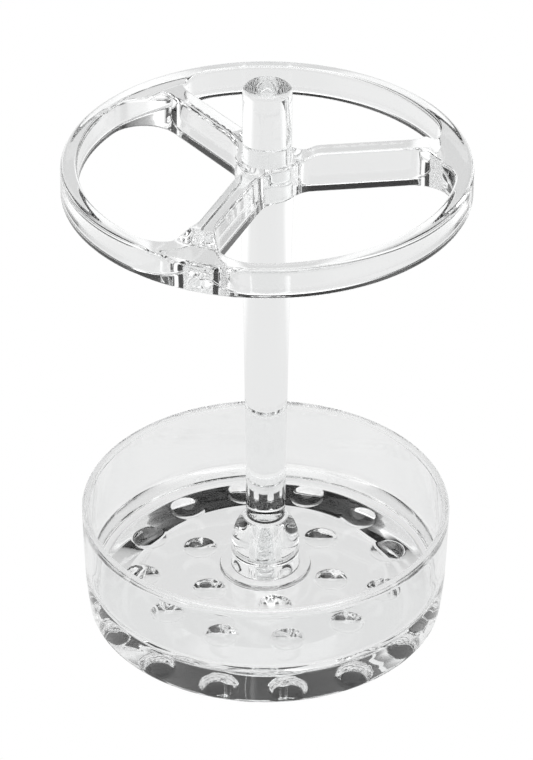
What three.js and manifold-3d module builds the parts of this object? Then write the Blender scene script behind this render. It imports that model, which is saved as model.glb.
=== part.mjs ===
// Clear moulded acrylic toothbrush stand: a thick-floored round cup, a tapered column that screws
// into the cup's central boss, and a three-spoked rack wheel that sits on the column's shoulder.
// Units are millimetres and +Z is up. The origin is on the axis, where the cup rests.

import * as THREE from 'three';
import * as BufferGeometryUtils from 'three/addons/utils/BufferGeometryUtils.js';
import Module from 'manifold-3d';

const wasm = await Module();
wasm.setup();

// ---------------------------------------------------------------- driving dimensions

const CLEARANCE = 0.3;          // gap kept between pieces that meet

const CUP = {
  height: 32.4,
  rimRadius: 50.5,
  footRadius: 48.9,
  footEdge: 1.8,
  wall: 2,
  floor: 11.5,
  innerFillet: 1,
  footInner: 46.2,
  roofRadius: 33.2,
  roofHeight: 4.1,
};

const BOSS = {
  flangeRadius: 12.7,
  flangeHeight: 1,
  radius: 9.4,
  shoulder: 19.3,
  top: 28.3,
  seatRadius: 5.9,
};

const SPIGOT = {
  radius: 2.5,
  bottom: 6.5,
};

const COLUMN = {
  footRadius: 5.35,
  shoulderRadius: 7.1,
  neckRadius: 6.48,
  top: 163.6,
  crown: 1.4,
};

const RACK = {
  rimOuter: 54,
  rimInner: 49.5,
  rimBottom: 132.8,
  rimTop: 141.3,
  spokeTop: 144,
  spokeHalfWidth: 2.75,
  spokeStart: 12,
  spokeEnd: 43.5,
  hubRadius: 8.4,
  hubTop: 142.8,
  spokeCount: 3,
  firstSpoke: THREE.MathUtils.degToRad(7),
  rimFillet: 10,
  hubFillet: 7,
  edge: 0.6,
  topEdge: 1.4,
};

const DIMPLE = {
  radius: 5,
  depth: 2,
  rings: [
    { count: 6, ringRadius: 19.6, turn: 38 },
    { count: 12, ringRadius: 34.3, turn: 10 },
  ],
};

const LATHE_STEPS = 72;
const SHAFT_STEPS = 36;

// ---------------------------------------------------------------- solids and booleans

function toSolid(geometry) {
  const bare = geometry.clone();
  bare.deleteAttribute('normal');
  bare.deleteAttribute('uv');
  const merged = BufferGeometryUtils.mergeVertices(bare, 1e-4);
  return new wasm.Manifold(new wasm.Mesh({
    numProp: 3,
    vertProperties: Float32Array.from(merged.attributes.position.array),
    triVerts: Uint32Array.from(merged.index.array),
  }));
}

function toGeometry(solid) {
  const mesh = solid.getMesh();
  const geometry = new THREE.BufferGeometry();
  geometry.setAttribute('position', new THREE.BufferAttribute(Float32Array.from(mesh.vertProperties), 3));
  geometry.setIndex(new THREE.BufferAttribute(Uint32Array.from(mesh.triVerts), 1));
  geometry.computeVertexNormals();
  return geometry;
}

// A solid of revolution about Z. The profile is a list of [radius, height] pairs, anticlockwise
// when radius runs right and height runs up, from axis to axis or closed on itself.
function revolve(profile, steps) {
  const points = profile.map(([radius, height]) => new THREE.Vector2(radius, height));
  return new THREE.LatheGeometry(points, steps).rotateX(Math.PI / 2);
}

function extrude(shape, bottom, top, curveSegments) {
  const geometry = new THREE.ExtrudeGeometry(shape, {
    depth: top - bottom,
    bevelEnabled: false,
    curveSegments,
  });
  return geometry.translate(0, 0, bottom);
}

// Profile points along an elliptical arc from one angle to another, in degrees.
function arcPoints(centreR, centreZ, radiusR, radiusZ, from, to, steps) {
  const points = [];
  for (let i = 0; i <= steps; i += 1) {
    const angle = THREE.MathUtils.degToRad(from + (to - from) * i / steps);
    points.push([centreR + radiusR * Math.cos(angle), centreZ + radiusZ * Math.sin(angle)]);
  }
  return points;
}

// ---------------------------------------------------------------- cup

function cupProfile() {
  const innerRim = CUP.rimRadius - CUP.wall;
  const innerFoot = innerRim - 0.6;
  const domeTopAngle = THREE.MathUtils.radToDeg(Math.acos(BOSS.seatRadius / BOSS.radius));
  const domeRadiusZ = (BOSS.top - BOSS.shoulder) / Math.sin(THREE.MathUtils.degToRad(domeTopAngle));
  const socketRadius = SPIGOT.radius + CLEARANCE;
  const { innerFillet, floor, rimRadius, footRadius, footEdge, height } = CUP;
  return [
    [0, CUP.roofHeight],
    [CUP.roofRadius, CUP.roofHeight],
    [CUP.footInner, 0],
    ...arcPoints(footRadius - footEdge, footEdge, footEdge, footEdge, -90, 0, 4),
    [footRadius + 0.4, 5],
    [footRadius + 0.9, 10],
    [footRadius + 1.3, 20],
    [rimRadius, height - 0.8],
    [rimRadius - 0.5, height],
    [innerRim + 0.5, height],
    [innerRim, height - 0.8],
    ...arcPoints(innerFoot - innerFillet, floor + innerFillet, innerFillet, innerFillet, 0, -90, 4),
    ...arcPoints(BOSS.flangeRadius - BOSS.flangeHeight, floor, BOSS.flangeHeight, BOSS.flangeHeight, 0, 90, 3),
    [BOSS.radius, floor + BOSS.flangeHeight],
    ...arcPoints(0, BOSS.shoulder, BOSS.radius, domeRadiusZ, 0, domeTopAngle, 5),
    [socketRadius, BOSS.top],
    [socketRadius, SPIGOT.bottom - CLEARANCE],
    [0, SPIGOT.bottom - CLEARANCE],
  ];
}

// The ball cap that hollows one water-drop dimple out of the cup's floor.
function dimpleCutter(x, y) {
  const ballRadius = (DIMPLE.radius ** 2 + DIMPLE.depth ** 2) / (2 * DIMPLE.depth);
  const capAngle = Math.asin(DIMPLE.radius / ballRadius);
  const profile = [];
  const steps = 4;
  for (let i = 0; i <= steps; i += 1) {
    const lean = capAngle * i / steps;
    profile.push([
      ballRadius * Math.sin(lean),
      CUP.floor - DIMPLE.depth + ballRadius * (1 - Math.cos(lean)),
    ]);
  }
  profile.push([DIMPLE.radius, CUP.floor + 1]);
  profile.push([0, CUP.floor + 1]);
  return revolve(profile, 16).translate(x, y, 0);
}

function makeCup() {
  let solid = toSolid(revolve(cupProfile(), LATHE_STEPS));
  for (const ring of DIMPLE.rings) {
    for (let i = 0; i < ring.count; i += 1) {
      const angle = THREE.MathUtils.degToRad(ring.turn + 360 * i / ring.count);
      const x = ring.ringRadius * Math.cos(angle);
      const y = ring.ringRadius * Math.sin(angle);
      solid = solid.subtract(toSolid(dimpleCutter(x, y)));
    }
  }
  return toGeometry(solid);
}

// ---------------------------------------------------------------- column

function columnProfile() {
  const foot = BOSS.top + CLEARANCE;
  const shoulder = RACK.rimBottom - CLEARANCE;
  const neckEnd = COLUMN.top - COLUMN.crown;
  const taper = [];
  const taperSteps = 6;
  for (let i = 0; i <= taperSteps; i += 1) {
    const along = i / taperSteps;
    const swell = 0.6 * along + 0.4 * along ** 3;
    const radius = COLUMN.footRadius + (COLUMN.shoulderRadius - COLUMN.footRadius) * swell;
    taper.push([radius, foot + (shoulder - foot) * along]);
  }
  return [
    [0, SPIGOT.bottom],
    [SPIGOT.radius - 0.5, SPIGOT.bottom],
    [SPIGOT.radius, SPIGOT.bottom + 0.8],
    [SPIGOT.radius, foot],
    ...taper,
    [COLUMN.neckRadius, shoulder],
    ...arcPoints(COLUMN.neckRadius - COLUMN.crown, neckEnd, COLUMN.crown, COLUMN.crown, 0, 90, 4),
    [0, COLUMN.top],
  ];
}

function makeColumn() {
  return revolve(columnProfile(), SHAFT_STEPS);
}

// ---------------------------------------------------------------- rack wheel

// The outline of one opening, between the spoke at `start` and the next one: two straight spoke
// sides, the rim's inner arc, the hub's arc, and a fillet in each of the four corners.
function openingPath(start) {
  const end = start + 2 * Math.PI / RACK.spokeCount;
  const outerCentre = RACK.rimInner - RACK.rimFillet;
  const outerLean = Math.asin((RACK.spokeHalfWidth + RACK.rimFillet) / outerCentre);
  const innerCentre = RACK.hubRadius + RACK.hubFillet;
  const innerLean = Math.asin((RACK.spokeHalfWidth + RACK.hubFillet) / innerCentre);
  const quarter = Math.PI / 2;
  const at = (radius, angle) => [radius * Math.cos(angle), radius * Math.sin(angle)];
  const path = new THREE.Path();
  path.absarc(...at(outerCentre, start + outerLean), RACK.rimFillet,
    start - quarter, start + outerLean, false);
  path.absarc(0, 0, RACK.rimInner, start + outerLean, end - outerLean, false);
  path.absarc(...at(outerCentre, end - outerLean), RACK.rimFillet,
    end - outerLean, end + quarter, false);
  path.absarc(...at(innerCentre, end - innerLean), RACK.hubFillet,
    end + quarter, end - innerLean + Math.PI, false);
  path.absarc(0, 0, RACK.hubRadius, end - innerLean, start + innerLean, true);
  path.absarc(...at(innerCentre, start + innerLean), RACK.hubFillet,
    start + innerLean + Math.PI, start + 3 * quarter, false);
  path.closePath();
  return path;
}

function wheelPlan() {
  const plan = new THREE.Shape();
  plan.absarc(0, 0, (RACK.rimOuter + RACK.rimInner) / 2, 0, 2 * Math.PI, false);
  for (let i = 0; i < RACK.spokeCount; i += 1) {
    plan.holes.push(openingPath(RACK.firstSpoke + 2 * Math.PI * i / RACK.spokeCount));
  }
  return plan;
}

function rimRing() {
  const { rimOuter, rimInner, rimBottom, rimTop, edge, topEdge } = RACK;
  return revolve([
    [rimInner + edge, rimBottom],
    [rimOuter - edge, rimBottom],
    [rimOuter, rimBottom + edge],
    ...arcPoints(rimOuter - topEdge, rimTop - topEdge, topEdge, topEdge, 0, 90, 3),
    [rimInner + edge, rimTop],
    [rimInner, rimTop - edge],
    [rimInner, rimBottom + edge],
    [rimInner + edge, rimBottom],
  ], LATHE_STEPS);
}

// One spoke's raised rib, seen from its side: flat on top, rounded down to the hub at one end and
// to the rim at the other.
function spokeRib(angle) {
  const base = RACK.rimTop - 2;
  const drop = 4;
  const side = new THREE.Shape();
  side.moveTo(RACK.spokeStart - drop, base);
  side.lineTo(RACK.spokeEnd + drop, base);
  side.lineTo(RACK.spokeEnd + drop, RACK.rimTop - 0.8);
  side.quadraticCurveTo(RACK.spokeEnd + 1, RACK.rimTop, RACK.spokeEnd, RACK.spokeTop - 1);
  side.quadraticCurveTo(RACK.spokeEnd - 0.5, RACK.spokeTop, RACK.spokeEnd - 2, RACK.spokeTop);
  side.lineTo(RACK.spokeStart + 2, RACK.spokeTop);
  side.quadraticCurveTo(RACK.spokeStart, RACK.spokeTop, RACK.spokeStart - 1, RACK.hubTop + 0.4);
  side.quadraticCurveTo(RACK.spokeStart - 1.5, RACK.hubTop, RACK.spokeStart - 3, RACK.hubTop - 0.2);
  side.closePath();
  const rib = new THREE.ExtrudeGeometry(side, {
    depth: 2 * RACK.spokeHalfWidth,
    bevelEnabled: false,
    curveSegments: 4,
  });
  rib.translate(0, 0, -RACK.spokeHalfWidth).rotateX(Math.PI / 2);
  return rib.rotateZ(angle);
}

function makeRack() {
  const bore = COLUMN.neckRadius + CLEARANCE;
  let solid = toSolid(extrude(wheelPlan(), RACK.rimBottom, RACK.rimTop, 12));
  solid = solid.add(toSolid(rimRing()));
  for (let i = 0; i < RACK.spokeCount; i += 1) {
    solid = solid.add(toSolid(spokeRib(RACK.firstSpoke + 2 * Math.PI * i / RACK.spokeCount)));
  }
  const hub = revolve([
    [0, RACK.rimBottom],
    [RACK.hubRadius, RACK.rimBottom],
    [RACK.hubRadius, RACK.hubTop - RACK.edge],
    [RACK.hubRadius - RACK.edge, RACK.hubTop],
    [0, RACK.hubTop],
  ], SHAFT_STEPS);
  const hole = revolve([
    [0, RACK.rimBottom - 1],
    [bore, RACK.rimBottom - 1],
    [bore, RACK.spokeTop + 1],
    [0, RACK.spokeTop + 1],
  ], SHAFT_STEPS);
  solid = solid.add(toSolid(hub)).subtract(toSolid(hole));
  return toGeometry(solid);
}

// ---------------------------------------------------------------- assembly

function clearAcrylic() {
  return new THREE.MeshStandardMaterial({ color: 0xe9edef, roughness: 0.05, metalness: 0 });
}

function piece(name, geometry) {
  const mesh = new THREE.Mesh(geometry, clearAcrylic());
  mesh.name = name;
  return mesh;
}

const stand = new THREE.Group();
stand.name = 'toothbrush_stand';
stand.add(piece('base_cup', makeCup()));
stand.add(piece('column', makeColumn()));
stand.add(piece('rack_wheel', makeRack()));

export default stand;
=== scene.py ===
"""Clear moulded acrylic toothbrush stand: a cup with dimples in its thick floor, a tapered column
that screws into the cup's boss, and a three-spoked rack wheel resting on the column's shoulder."""

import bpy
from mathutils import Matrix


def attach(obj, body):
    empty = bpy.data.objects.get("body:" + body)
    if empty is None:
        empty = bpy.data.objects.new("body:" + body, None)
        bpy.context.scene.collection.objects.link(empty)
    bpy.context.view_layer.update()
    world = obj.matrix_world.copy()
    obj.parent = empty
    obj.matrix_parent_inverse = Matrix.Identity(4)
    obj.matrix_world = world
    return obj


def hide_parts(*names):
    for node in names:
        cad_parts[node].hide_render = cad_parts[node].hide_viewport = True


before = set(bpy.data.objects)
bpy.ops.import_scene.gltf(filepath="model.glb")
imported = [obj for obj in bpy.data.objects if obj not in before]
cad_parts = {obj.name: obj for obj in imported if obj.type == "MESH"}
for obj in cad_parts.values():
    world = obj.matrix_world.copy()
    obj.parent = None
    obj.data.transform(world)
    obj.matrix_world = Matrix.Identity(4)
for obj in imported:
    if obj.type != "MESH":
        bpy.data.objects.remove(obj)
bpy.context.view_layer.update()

import math

import bpy
from mathutils import Matrix, Vector, geometry

MM = 0.001
TAU = 2 * math.pi

# ------------------------------------------------------------------ dimensions, in millimetres

# Clearance between the three mouldings.
GAP = 0.3

CUP_HEIGHT = 32.4
CUP_RIM = 50.5
CUP_LIP = 0.7
CUP_FOOT = 48.9
FOOT_EDGE = 1.8
# How far the outside stands out beyond the foot, and at which height.
CUP_LEAN = ((0.4, 5), (0.9, 10), (1.3, 20))
CUP_WALL = 2.0
CUP_TAPER = 0.6
CUP_FLOOR = 11.5
CUP_FILLET = 4.3
CUP_FILLET_RISE = 1.6
FOOT_INNER = 46.2
ROOF_RADIUS = 33.2
ROOF_HEIGHT = 4.1

BOSS_FLANGE = 12.7
BOSS_FLANGE_HEIGHT = 1.0
BOSS_CORNER = 0.4
BOSS_GROOVE = 0.4
BOSS_GROOVE_HEIGHT = 17.7
BOSS_RADIUS = 9.4
BOSS_SHOULDER = 19.3
BOSS_TOP = 28.3
BOSS_SEAT = 5.9

THREAD_CORE = 1.95
THREAD_DEPTH = 0.55
THREAD_RADIUS = THREAD_CORE + THREAD_DEPTH
THREAD_PITCH = 1.75
# Where the thread's flank starts and ends, as a share of the way from groove to crest.
THREAD_FLANK = (0.12, 0.88)
THREAD_BOTTOM = 6.5
THREAD_TIP = 0.4
THREAD_TIP_INSET = 1.0
THREAD_LEAD = 0.5
THREAD_LEAD_HEIGHT = 1.0
# The thread fades out between these depths below the boss's top.
THREAD_RUN_OUT = (1.6, 0.6)
BORE = THREAD_RADIUS + GAP
BORE_EDGE = 0.4

COLUMN_FOOT = 5.35
COLUMN_FOOT_EDGE = 0.4
COLUMN_FOOT_CORNER = 0.3
COLUMN_SHOULDER = 7.1
COLUMN_SHOULDER_EDGE = 0.3
# The share of the column's widening that is even; the rest comes mostly near the top.
COLUMN_EVEN = 0.6
COLUMN_NECK = 6.48
COLUMN_TOP = 163.6
COLUMN_CROWN = 1.4

RACK_BOTTOM = 132.8
RIM_OUTER = 54.0
RIM_INNER = 49.5
RIM_TOP = 141.3
# The spokes' tops slope down to the rim's between these radii.
RIM_SLOPE = (42.5, 46.0)
SPOKE_TOP = 144.0
SPOKE_HALF = 2.75
SPOKE_DRAFT = math.tan(math.radians(2))
SPOKE_COUNT = 3
FIRST_SPOKE = math.radians(7)
RIM_FILLET = 10.0
HUB_RADIUS = 8.4
HUB_FILLET = 7.0
HUB_TOP = 142.8
# The hub's top rises to the spokes' between these radii.
HUB_DIP = (10, 14)
# Edge roundings of the wheel's two faces.
BOTTOM_EDGES = {"outside": 0.7, "bore": 0.2, "opening": 0.6}
TOP_EDGES = {"outside": 1.6, "bore": 0.2, "opening": 1.0}

DIMPLE_RADIUS = 5.0
DIMPLE_DEPTH = 2.0
DIMPLE_EDGE = 0.6
# How many dimples each ring has, the ring's radius, and its first dimple's angle in degrees.
DIMPLE_RINGS = ((6, 19.6, 38), (12, 34.3, 10))


# ------------------------------------------------------------------ mesh helpers

def smooth_object(name, points, faces):
    mesh = bpy.data.meshes.new(name)
    mesh.from_pydata([Vector(p) * MM for p in points], [], faces)
    mesh.validate()
    for polygon in mesh.polygons:
        polygon.use_smooth = True
    obj = bpy.data.objects.new(name, mesh)
    bpy.context.scene.collection.objects.link(obj)
    return obj


def arc(centre_r, centre_z, radius_r, radius_z, start, end, steps):
    """Profile points along an elliptical arc, angles in degrees."""
    points = []
    for i in range(steps + 1):
        angle = math.radians(start + (end - start) * i / steps)
        points.append((centre_r + radius_r * math.cos(angle), centre_z + radius_z * math.sin(angle)))
    return points


def line(start, end, steps):
    """Points between start and end, the outer ones just inside the ends so that corners stay crisp."""
    support = 0.08
    inset = min(support / math.dist(start, end), 0.2)
    stops = [inset] + [inset + (1 - 2 * inset) * i / steps for i in range(1, steps)] + [1 - inset]
    return [tuple(a + (b - a) * t for a, b in zip(start, end)) for t in stops]


def revolve(name, profile, segments, shape):
    """A closed solid of revolution from a profile that starts and ends on the axis.

    shape(radius, height, angle) may move a point of the surface."""
    points = [(0, 0, profile[0][1])]
    faces = []
    rows = profile[1:-1]
    for radius, height in rows:
        for j in range(segments):
            angle = TAU * j / segments
            r, z = shape(radius, height, angle)
            points.append((r * math.cos(angle), r * math.sin(angle), z))
    points.append((0, 0, profile[-1][1]))
    last = len(points) - 1

    def at(row, j):
        return 1 + row * segments + j % segments

    for j in range(segments):
        faces.append((0, at(0, j + 1), at(0, j)))
        faces.append((last, at(len(rows) - 1, j), at(len(rows) - 1, j + 1)))
    for row in range(len(rows) - 1):
        for j in range(segments):
            faces.append((at(row, j), at(row, j + 1), at(row + 1, j + 1), at(row + 1, j)))
    return smooth_object(name, points, faces)


def ramp(low, high, value):
    """0 below low, 1 above high, and a straight slope between them."""
    return min(max((value - low) / (high - low), 0.0), 1.0)


def smoothstep(low, high, value):
    t = ramp(low, high, value)
    return t * t * (3 - 2 * t)


# ------------------------------------------------------------------ screw thread

def thread_crest(height, angle):
    """0 in a thread's groove and 1 on its crest, for a right-handed single-start thread."""
    phase = (height / THREAD_PITCH - angle / TAU) % 1.0
    ridge = 1 - abs(2 * phase - 1)
    return smoothstep(*THREAD_FLANK, ridge)


def thread_groove(height, angle):
    """How deep the column's thread is cut here, running out just below the boss's top."""
    fade_start, fade_end = (BOSS_TOP - depth for depth in THREAD_RUN_OUT)
    run_out = 1 - smoothstep(fade_start, fade_end, height)
    return THREAD_DEPTH * (1 - thread_crest(height, angle)) * run_out


# ------------------------------------------------------------------ cup

def dimple_centres():
    centres = []
    for count, ring, turn in DIMPLE_RINGS:
        for i in range(count):
            angle = math.radians(turn + 360 * i / count)
            centres.append((ring * math.cos(angle), ring * math.sin(angle)))
    return centres


DIMPLES = dimple_centres()
# The radius of the ball whose cap is one dimple.
DIMPLE_BALL = (DIMPLE_RADIUS ** 2 + DIMPLE_DEPTH ** 2) / (2 * DIMPLE_DEPTH)


def dimple_depth(radius, angle):
    """How far the dimples sink the floor at this place."""
    x = radius * math.cos(angle)
    y = radius * math.sin(angle)
    for cx, cy in DIMPLES:
        away = math.hypot(x - cx, y - cy)
        if away < DIMPLE_RADIUS:
            cap = math.sqrt(DIMPLE_BALL ** 2 - away ** 2) - (DIMPLE_BALL - DIMPLE_DEPTH)
            return cap * smoothstep(0, DIMPLE_EDGE, DIMPLE_RADIUS - away)
    return 0.0


def cup_underside():
    """The hollow under the cup: a flat roof, a cone down to the foot ring, and the ring's round edge."""
    profile = [(0, ROOF_HEIGHT)]
    profile += line((0, ROOF_HEIGHT), (ROOF_RADIUS, ROOF_HEIGHT), 24)
    profile += line((ROOF_RADIUS, ROOF_HEIGHT), (FOOT_INNER, 0), 12)
    profile += line((FOOT_INNER, 0), (CUP_FOOT - FOOT_EDGE, 0), 2)
    profile += arc(CUP_FOOT - FOOT_EDGE, FOOT_EDGE, FOOT_EDGE, FOOT_EDGE, -90, 0, 10)
    return profile


def cup_wall(inner_rim, inner_foot, wall_z):
    """Up the outside, over the rim and down the inside to the fillet that starts at wall_z."""
    lip_z = CUP_HEIGHT - CUP_LIP
    outer = [(CUP_FOOT, FOOT_EDGE)]
    outer += [(CUP_FOOT + lean, height) for lean, height in CUP_LEAN]
    outer += [(CUP_RIM, lip_z)]
    steps = 6
    profile = []
    for (r0, z0), (r1, z1) in zip(outer, outer[1:]):
        profile += [(r0 + (r1 - r0) * i / steps, z0 + (z1 - z0) * i / steps) for i in range(1, steps + 1)]
    profile += arc(CUP_RIM - CUP_LIP, lip_z, CUP_LIP, CUP_LIP, 0, 90, 6)
    profile += arc(inner_rim + CUP_LIP, lip_z, CUP_LIP, CUP_LIP, 90, 180, 6)
    profile += line((inner_rim, lip_z), (inner_foot, wall_z), 14)
    return profile


def cup_boss():
    """The boss: a low round flange, a straight side with a groove, and a dome up to the seat."""
    flange_top = CUP_FLOOR + BOSS_FLANGE_HEIGHT
    corner_top = flange_top + BOSS_CORNER
    dome_end = math.degrees(math.acos(BOSS_SEAT / BOSS_RADIUS))
    dome_z = (BOSS_TOP - BOSS_SHOULDER) / math.sin(math.radians(dome_end))
    profile = arc(BOSS_FLANGE - BOSS_FLANGE_HEIGHT, CUP_FLOOR, BOSS_FLANGE_HEIGHT, BOSS_FLANGE_HEIGHT,
                  0, 90, 8)
    profile += arc(BOSS_RADIUS + BOSS_CORNER, corner_top, BOSS_CORNER, BOSS_CORNER, 270, 180, 4)
    profile += line((BOSS_RADIUS, corner_top), (BOSS_RADIUS, BOSS_GROOVE_HEIGHT - BOSS_GROOVE), 6)
    profile += arc(BOSS_RADIUS, BOSS_GROOVE_HEIGHT, BOSS_GROOVE, BOSS_GROOVE, 255, 105, 8)
    profile += arc(0, BOSS_SHOULDER, BOSS_RADIUS, dome_z, 1, dome_end, 16)
    profile += line((BOSS_SEAT, BOSS_TOP), (BORE + BORE_EDGE, BOSS_TOP), 2)
    return profile


def cup_bore():
    """The boss's hole, from its chamfered mouth down to its bottom on the axis."""
    support = 0.1
    bottom = THREAD_BOTTOM - GAP
    start = BOSS_TOP - BORE_EDGE - support
    run = bottom + support - BOSS_TOP + BORE_EDGE + support
    rows = 200
    profile = [(BORE, BOSS_TOP - BORE_EDGE)]
    profile += [(BORE, start + run * i / rows) for i in range(rows + 1)]
    profile += [(BORE - support, bottom), (BORE * 0.5, bottom), (0, bottom)]
    return profile


def cup_profile():
    inner_rim = CUP_RIM - CUP_WALL
    inner_foot = inner_rim - CUP_TAPER
    wall_z = CUP_FLOOR + CUP_FILLET_RISE
    floor_start = inner_foot - CUP_FILLET
    profile = cup_underside() + cup_wall(inner_rim, inner_foot, wall_z)
    profile += arc(floor_start, wall_z, CUP_FILLET, CUP_FILLET_RISE, 0, -90, 16)
    # The floor's rows are close together, because cup_shape sinks the dimples into them.
    steps = 76
    profile += [(floor_start + (BOSS_FLANGE - floor_start) * i / steps, CUP_FLOOR)
                for i in range(1, steps)]
    return profile + cup_boss() + cup_bore()


def cup_shape(radius, height, angle):
    if abs(height - CUP_FLOOR) < 1e-6 and radius > BOSS_FLANGE:
        return radius, height - dimple_depth(radius, angle)
    return radius, height


cup = revolve("cup_clear", cup_profile(), 360, cup_shape)


# ------------------------------------------------------------------ column

THREAD_START = THREAD_BOTTOM + THREAD_TIP


def column_profile():
    foot = BOSS_TOP + GAP
    shoulder = RACK_BOTTOM - GAP
    support = 0.1
    corner = COLUMN_FOOT_CORNER
    edge = COLUMN_FOOT_EDGE
    profile = [(0, THREAD_BOTTOM)]
    profile += line((0, THREAD_BOTTOM), (THREAD_RADIUS - THREAD_TIP_INSET, THREAD_BOTTOM), 2)
    rows = 200
    profile += [(THREAD_RADIUS, THREAD_START + (foot - corner - THREAD_START) * i / rows)
                for i in range(rows + 1)]
    profile += [(THREAD_RADIUS + support, foot - support), (THREAD_RADIUS + corner, foot)]
    profile += line((THREAD_RADIUS + corner, foot), (COLUMN_FOOT - edge, foot), 2)
    profile += arc(COLUMN_FOOT - edge, foot + edge, edge, edge, -90, 0, 4)
    steps = 60
    for i in range(1, steps + 1):
        along = i / steps
        swell = COLUMN_EVEN * along + (1 - COLUMN_EVEN) * along ** 3
        radius = COLUMN_FOOT + (COLUMN_SHOULDER - COLUMN_FOOT) * swell
        profile.append((radius, foot + edge + (shoulder - foot - 2 * edge) * along))
    edge = COLUMN_SHOULDER_EDGE
    profile += arc(COLUMN_SHOULDER - edge, shoulder - edge, edge, edge, 10, 90, 3)
    profile += [(COLUMN_NECK + support, shoulder), (COLUMN_NECK, shoulder + support)]
    neck_end = COLUMN_TOP - COLUMN_CROWN
    profile += line((COLUMN_NECK, shoulder + support), (COLUMN_NECK, neck_end), 12)
    profile += arc(COLUMN_NECK - COLUMN_CROWN, neck_end, COLUMN_CROWN, COLUMN_CROWN, 0, 90, 10)
    profile += line((COLUMN_NECK - COLUMN_CROWN, COLUMN_TOP), (0, COLUMN_TOP), 4)
    profile += [(0, COLUMN_TOP)]
    return profile


def column_shape(radius, height, angle):
    """Cut the thread and its narrower lead-in into the rows that have the thread's radius."""
    end = BOSS_TOP + GAP - COLUMN_FOOT_CORNER
    if abs(radius - THREAD_RADIUS) < 1e-6 and THREAD_START <= height <= end + 1e-6:
        lead = THREAD_LEAD * (1 - smoothstep(THREAD_START, THREAD_START + THREAD_LEAD_HEIGHT, height))
        return radius - thread_groove(height, angle) - lead, height
    return radius, height


column = revolve("column_clear", column_profile(), 192, column_shape)


# ------------------------------------------------------------------ rack wheel

def arc_xy(cx, cy, radius, start, end, steps):
    return [(cx + radius * math.cos(start + (end - start) * i / steps),
             cy + radius * math.sin(start + (end - start) * i / steps)) for i in range(steps + 1)]


def fillet_centres(half):
    """Where an opening's fillets are centred, at the rim and then at the hub.

    Each place is a distance from the axis and an angle from the middle of the nearest spoke."""
    outer = RIM_INNER - RIM_FILLET
    inner = HUB_RADIUS + HUB_FILLET
    return outer, math.asin((half + RIM_FILLET) / outer), inner, math.asin((half + HUB_FILLET) / inner)


def opening_loop(start, inset, half):
    """One opening's outline, grown by inset into the material. Every inset has as many points."""
    end = start + TAU / SPOKE_COUNT
    outer_centre, outer_lean, inner_centre, inner_lean = fillet_centres(half)
    quarter = math.pi / 2

    def at(radius, angle):
        return radius * math.cos(angle), radius * math.sin(angle)

    def run(a, b, steps):
        return [(a[0] + (b[0] - a[0]) * i / steps, a[1] + (b[1] - a[1]) * i / steps)
                for i in range(1, steps)]

    rim = arc_xy(*at(outer_centre, start + outer_lean), RIM_FILLET + inset, start - quarter,
                 start + outer_lean, 20)
    rim += arc_xy(0, 0, RIM_INNER + inset, start + outer_lean, end - outer_lean, 56)[1:]
    rim += arc_xy(*at(outer_centre, end - outer_lean), RIM_FILLET + inset, end - outer_lean,
                  end + quarter, 20)[1:]
    hub = arc_xy(*at(inner_centre, end - inner_lean), HUB_FILLET + inset, end + quarter,
                 end - inner_lean + math.pi, 10)
    hub += arc_xy(0, 0, HUB_RADIUS - inset, end - inner_lean, start + inner_lean, 12)[1:]
    hub += arc_xy(*at(inner_centre, start + inner_lean), HUB_FILLET + inset,
                  start + inner_lean + math.pi, start + 3 * quarter, 10)[1:]
    return rim + run(rim[-1], hub[0], 22) + hub + run(hub[-1], rim[0], 22)


def rack_top(x, y):
    """The height of the wheel's top face here. Its bottom face is flat, at RACK_BOTTOM."""
    radius = math.hypot(x, y)
    hub_dip = (SPOKE_TOP - HUB_TOP) * (1 - smoothstep(*HUB_DIP, radius))
    return SPOKE_TOP - hub_dip + (RIM_TOP - SPOKE_TOP) * ramp(*RIM_SLOPE, radius)


def spoke_half(height):
    """Half a spoke's width at this height: the mould's draft makes it wider lower down."""
    return SPOKE_HALF + (SPOKE_TOP - height) * SPOKE_DRAFT


def rack_loops(edges, share, half):
    """The wheel's outlines as (edge, points), pulled in by a share of their edge rounding."""
    bore = COLUMN_NECK + GAP
    outside, inside, opening = (edges[name] * share for name in ("outside", "bore", "opening"))
    loops = [(edges["outside"], arc_xy(0, 0, RIM_OUTER - outside, 0, TAU, 288)[:-1])]
    loops.append((edges["bore"], arc_xy(0, 0, bore + inside, TAU, 0, 96)[:-1]))
    for i in range(SPOKE_COUNT):
        outline = opening_loop(FIRST_SPOKE + TAU * i / SPOKE_COUNT, opening, half)
        loops.append((edges["opening"], outline[::-1]))
    return loops


def rack_rings():
    """Closed rings of wall points from the bottom face's outline up to the top face's outline."""
    steps = 6
    wall_shares = (0.02, 0.25, 0.5, 0.75, 0.98)
    rings = []
    for i in range(steps + 1):
        turn = math.pi / 2 * i / steps
        ring = []
        for edge, loop in rack_loops(BOTTOM_EDGES, 1 - math.sin(turn), spoke_half(RACK_BOTTOM)):
            ring.append([(x, y, RACK_BOTTOM + edge * (1 - math.cos(turn))) for x, y in loop])
        rings.append(ring)
    for share in wall_shares:
        ring = []
        half = spoke_half(RACK_BOTTOM + (SPOKE_TOP - RACK_BOTTOM) * share)
        tops = [edge for edge, _ in rack_loops(TOP_EDGES, 0, half)]
        for (edge, loop), top in zip(rack_loops(BOTTOM_EDGES, 0, half), tops):
            row = []
            for x, y in loop:
                low, high = RACK_BOTTOM + edge, rack_top(x, y) - top
                row.append((x, y, low + (high - low) * share))
            ring.append(row)
        rings.append(ring)
    for i in range(steps + 1):
        turn = math.pi / 2 * i / steps
        ring = []
        for edge, loop in rack_loops(TOP_EDGES, 1 - math.cos(turn), spoke_half(SPOKE_TOP)):
            ring.append([(x, y, rack_top(x, y) - edge * (1 - math.sin(turn))) for x, y in loop])
        rings.append(ring)
    return rings


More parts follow.
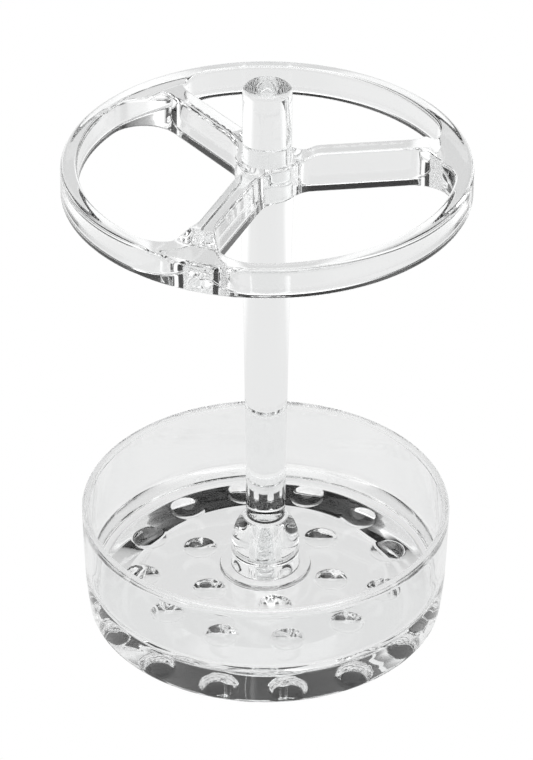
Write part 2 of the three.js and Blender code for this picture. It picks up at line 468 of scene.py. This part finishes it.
def face_seeds():
    """Places about 1 mm apart, on rings round the axis, for the inner points of the wheel's faces."""
    seeds = []
    bore = math.ceil(COLUMN_NECK + GAP)
    for radius in range(bore + 1, round(RIM_OUTER)):
        count = max(12, int(TAU * radius))
        for j in range(count):
            angle = TAU * (j + 0.5 * (radius % 2)) / count
            seeds.append((radius * math.cos(angle), radius * math.sin(angle)))
    return seeds


def make_rack():
    points = []
    faces = []
    rings = []
    for ring in rack_rings():
        rows = []
        for loop in ring:
            rows.append(list(range(len(points), len(points) + len(loop))))
            points += loop
        rings.append(rows)
    for below, above in zip(rings, rings[1:]):
        for low, high in zip(below, above):
            for j in range(len(low)):
                k = (j + 1) % len(low)
                faces.append((low[j], low[k], high[k], high[j]))
    seeds = face_seeds()
    close_face(points, faces, rings[-1], seeds, TOP_EDGES, spoke_half(SPOKE_TOP), True)
    close_face(points, faces, rings[0], seeds, BOTTOM_EDGES, spoke_half(RACK_BOTTOM), False)
    return smooth_object("rack_clear", points, faces)


def close_face(points, faces, rows, seeds, edges, half, up):
    """Fill the wheel's top or bottom between its outlines with even triangles."""
    clear = 0.35
    slack = 0.05
    outline = []
    owners = []
    borders = []
    for row in rows:
        first = len(outline)
        outline += [Vector(points[index][:2]) for index in row]
        owners += row
        borders += [(first + j, first + (j + 1) % len(row)) for j in range(len(row))]
    kept = [Vector(seed) for seed in seeds if inside_rack(seed, edges, clear, half)]
    verts, _, tris, origin, _, _ = geometry.delaunay_2d_cdt(outline + kept, borders, [], 0, 1e-5)
    names = []
    for v, source in zip(verts, origin):
        if source and min(source) < len(outline):
            names.append(owners[min(source)])
        else:
            names.append(len(points))
            points.append((v.x, v.y, rack_top(v.x, v.y) if up else RACK_BOTTOM))
    for a, b, c in tris:
        if not inside_rack((verts[a] + verts[b] + verts[c]) / 3, edges, -slack, half):
            continue
        if ((verts[b] - verts[a]).cross(verts[c] - verts[a]) > 0) != up:
            b, c = c, b
        faces.append((names[a], names[b], names[c]))


def inside_rack(point, edges, extra, half):
    """True where the wheel's flat face has material, at least extra away from its outlines."""
    x, y = point[0], point[1]
    radius = math.hypot(x, y)
    if radius > RIM_OUTER - edges["outside"] - extra:
        return False
    if radius < COLUMN_NECK + GAP + edges["bore"] + extra:
        return False
    margin = edges["opening"] + extra
    if radius > RIM_INNER + margin or radius < HUB_RADIUS - margin:
        return True
    sector = TAU / SPOKE_COUNT
    off = (math.atan2(y, x) - FIRST_SPOKE + sector / 2) % sector - sector / 2
    u, v = radius * math.cos(off), abs(radius * math.sin(off))
    if v < half - margin:
        return True
    outer_centre, outer_lean, inner_centre, inner_lean = fillet_centres(half)
    cu, cv = outer_centre * math.cos(outer_lean), outer_centre * math.sin(outer_lean)
    if u > cu and math.atan2(v, u) < outer_lean:
        return math.hypot(u - cu, v - cv) > RIM_FILLET + margin
    cu, cv = inner_centre * math.cos(inner_lean), inner_centre * math.sin(inner_lean)
    if u < cu and math.atan2(v, u) < inner_lean:
        return math.hypot(u - cu, v - cv) > HUB_FILLET + margin
    return False


rack = make_rack()


# ------------------------------------------------------------------ materials

ACRYLIC_IOR = 1.49
ACRYLIC_TINT = 1.005
RIPPLE_HEIGHT = 0.001
HAZE_SCALE = 900.0
HAZE_NOISE = (0.35, 0.75)
HAZE_ROUGHNESS = 0.003


def acrylic(name, tone, scale, waviness):
    """Clear polished acrylic with the faint waviness and fine handling haze of a moulding."""
    material = bpy.data.materials.new(name)
    material.use_nodes = True
    nodes = material.node_tree.nodes
    links = material.node_tree.links
    shader = nodes["Principled BSDF"]
    # tone darkens the base colour: partly the acrylic's own faint tint, partly painted shade that makes the
    # part greyer
    shader.inputs["Base Color"].default_value = (tone, tone * ACRYLIC_TINT, tone * ACRYLIC_TINT, 1)
    shader.inputs["Transmission Weight"].default_value = 1.0
    shader.inputs["IOR"].default_value = ACRYLIC_IOR
    place = nodes.new("ShaderNodeTexCoord")
    ripple = nodes.new("ShaderNodeTexNoise")
    ripple.inputs["Scale"].default_value = scale
    ripple.inputs["Detail"].default_value = 1.0
    links.new(place.outputs["Object"], ripple.inputs["Vector"])
    bump = nodes.new("ShaderNodeBump")
    bump.inputs["Strength"].default_value = waviness
    bump.inputs["Distance"].default_value = RIPPLE_HEIGHT
    links.new(ripple.outputs["Fac"], bump.inputs["Height"])
    links.new(bump.outputs["Normal"], shader.inputs["Normal"])
    haze = nodes.new("ShaderNodeTexNoise")
    haze.inputs["Scale"].default_value = HAZE_SCALE
    haze.inputs["Detail"].default_value = 3.0
    links.new(place.outputs["Object"], haze.inputs["Vector"])
    spread = nodes.new("ShaderNodeMapRange")
    spread.inputs["From Min"].default_value = HAZE_NOISE[0]
    spread.inputs["From Max"].default_value = HAZE_NOISE[1]
    spread.inputs["To Min"].default_value = 0.0
    spread.inputs["To Max"].default_value = HAZE_ROUGHNESS
    links.new(haze.outputs["Fac"], spread.inputs["Value"])
    links.new(spread.outputs["Result"], shader.inputs["Roughness"])
    return material


# tone: the cup's 0.97 is mostly the acrylic's own faint tint; the lower 0.94 of the column and rack adds
# painted shade
for obj, node, body, slot, tone, scale, waviness in (
    (cup, "base_cup", "base", "cup_acrylic", 0.97, 70.0, 0.08),
    (column, "column", "column", "column_acrylic", 0.94, 60.0, 0.06),
    (rack, "rack_wheel", "rack", "rack_acrylic", 0.94, 70.0, 0.06),
):
    obj.data.materials.append(acrylic(slot, tone, scale, waviness))
    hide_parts(node)
    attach(obj, body)


# ------------------------------------------------------------------ studio, lengths in metres

# Strengths of the light that reaches the acrylic.
BACKDROP = 0.86
SIDE_GLOW = 0.35
CEILING_GLOW = 1.5
DARK_ROOM = 0.02

# The floor's brighter strips, by distance from the middle: where they start and where they end.
FLOOR_HALF = 6.0
FLOOR_HEIGHT = -0.0004
STRIP_START = (0.1, 0.17)
STRIP_END = (0.22, 0.32)

# Steps in the world, each along one axis of a ray's direction.
SIDES = (0.4, 0.8)
SWEEP_TOP = (0.14, 0.3)
CEILING = (0.84, 0.93)
BEHIND = (-0.1, 0.15)
OPPOSITE = (-0.6, -0.35)


class Wiring:
    """Small helper for joining value nodes in a node tree."""

    def __init__(self, tree):
        self.tree = tree

    def feed(self, socket, value):
        if isinstance(value, (int, float)):
            socket.default_value = value
        else:
            self.tree.links.new(value, socket)

    def step(self, value, low, high, start, end, kind="SMOOTHSTEP"):
        """Goes from start to end while value goes from low to high."""
        node = self.tree.nodes.new("ShaderNodeMapRange")
        node.interpolation_type = kind
        for name, item in (("Value", value), ("From Min", low), ("From Max", high), ("To Min", start),
                           ("To Max", end)):
            self.feed(node.inputs[name], item)
        return node.outputs["Result"]

    def math(self, operation, *values):
        node = self.tree.nodes.new("ShaderNodeMath")
        node.operation = operation
        for socket, value in zip(node.inputs, values):
            self.feed(socket, value)
        return node.outputs["Value"]

    def axes(self, output):
        place = self.tree.nodes.new("ShaderNodeTexCoord")
        split = self.tree.nodes.new("ShaderNodeSeparateXYZ")
        self.tree.links.new(place.outputs[output], split.inputs["Vector"])
        return split.outputs["X"], split.outputs["Y"], split.outputs["Z"]

    def white_to_lens(self, others):
        """Plain white straight into the lens, and others for light that reaches the acrylic."""
        path = self.tree.nodes.new("ShaderNodeLightPath")
        return self.step(path.outputs["Is Camera Ray"], 0.0, 1.0, others, 1.0, "LINEAR")


def studio_floor():
    """A flat white floor with a brighter strip on either side of the object."""
    mesh = bpy.data.meshes.new("studio_floor")
    signs = ((-1, -1), (1, -1), (1, 1), (-1, 1))
    corners = [(x * FLOOR_HALF, y * FLOOR_HALF, FLOOR_HEIGHT) for x, y in signs]
    mesh.from_pydata(corners, [], [(0, 1, 2, 3)])
    floor = bpy.data.objects.new("studio_floor", mesh)
    bpy.context.scene.collection.objects.link(floor)
    paint = bpy.data.materials.new("studio_floor_paint")
    paint.use_nodes = True
    nodes = paint.node_tree.nodes
    wire = Wiring(paint.node_tree)
    across, _, _ = wire.axes("Object")
    near = wire.step(wire.math("ABSOLUTE", across), *STRIP_START, BACKDROP, BACKDROP + SIDE_GLOW)
    side = wire.step(wire.math("ABSOLUTE", across), *STRIP_END, near, BACKDROP)
    glow = nodes.new("ShaderNodeEmission")
    glow.inputs["Color"].default_value = (1, 1, 1, 1)
    wire.feed(glow.inputs["Strength"], wire.white_to_lens(side))
    paint.node_tree.links.new(glow.outputs["Emission"], nodes["Material Output"].inputs["Surface"])
    mesh.materials.append(paint)


def studio_world():
    """White, with a bright ceiling, brighter sides, and a dark room above the sweep behind and in front."""
    world = bpy.data.worlds.new("studio")
    bpy.context.scene.world = world
    world.use_nodes = True
    background = world.node_tree.nodes["Background"]
    wire = Wiring(world.node_tree)
    across, along, up = wire.axes("Generated")
    above_sweep = wire.step(up, *SWEEP_TOP, 0.0, 1.0)
    below_ceiling = wire.step(up, *CEILING, 1.0, 0.0)
    behind = wire.step(along, *BEHIND, 0.0, 1.0)
    opposite = wire.step(along, *OPPOSITE, 1.0, 0.0)
    ends = wire.math("MAXIMUM", behind, opposite)
    room = wire.math("MULTIPLY", wire.math("MULTIPLY", above_sweep, below_ceiling), ends)
    side = wire.step(wire.math("ABSOLUTE", across), *SIDES, BACKDROP, BACKDROP + SIDE_GLOW)
    light = wire.math("ADD", side, wire.step(up, *CEILING, 0.0, CEILING_GLOW))
    shown = wire.step(room, 0.0, 1.0, light, DARK_ROOM, "LINEAR")
    wire.feed(background.inputs["Strength"], wire.white_to_lens(shown))
    background.inputs["Color"].default_value = (1, 1, 1, 1)


def softbox(name, place, aim, size, power):
    data = bpy.data.lights.new(name, "AREA")
    data.shape = "RECTANGLE"
    data.size, data.size_y = size
    data.energy = power
    light = bpy.data.objects.new(name, data)
    light.location = place
    light.rotation_euler = (Vector(aim) - Vector(place)).to_track_quat("-Z", "Y").to_euler()
    bpy.context.scene.collection.objects.link(light)


studio_floor()
studio_world()
softbox("key_softbox", place=(-0.9, -0.5, 1.3), aim=(0, 0, 0.05), size=(1.2, 1.2), power=1)


# ------------------------------------------------------------------ camera

# The camera stands CAMERA_AWAY from CAMERA_PIVOT, CAMERA_LIFT above the horizontal, facing CAMERA_AIM.
CAMERA_SENSOR = 36
CAMERA_LENS = 199.45
CAMERA_AWAY = 1.1293
CAMERA_LIFT = math.radians(33.185)
CAMERA_ROLL = math.radians(0.254)
CAMERA_PIVOT = Vector((0, 0, 0.08345))
CAMERA_AIM = Vector((0.0001, 0, 0.0727))
BOUNCES = 64


def camera():
    data = bpy.data.cameras.new("photo_camera")
    data.sensor_width = CAMERA_SENSOR
    data.lens = CAMERA_LENS
    data.dof.use_dof = False
    data.clip_start = 0.05
    data.clip_end = 50
    obj = bpy.data.objects.new("photo_camera", data)
    outward = Vector((0, -math.cos(CAMERA_LIFT), math.sin(CAMERA_LIFT)))
    obj.location = CAMERA_PIVOT + outward * CAMERA_AWAY
    aim = CAMERA_AIM - obj.location
    turn = aim.to_track_quat("-Z", "Y").to_matrix().to_4x4()
    turn = turn @ Matrix.Rotation(CAMERA_ROLL, 4, "Z")
    obj.rotation_euler = turn.to_euler()
    bpy.context.scene.collection.objects.link(obj)
    bpy.context.scene.camera = obj


camera()
scene = bpy.context.scene
scene.view_settings.view_transform = "Standard"
scene.cycles.max_bounces = BOUNCES
scene.cycles.glossy_bounces = BOUNCES
scene.cycles.transmission_bounces = BOUNCES
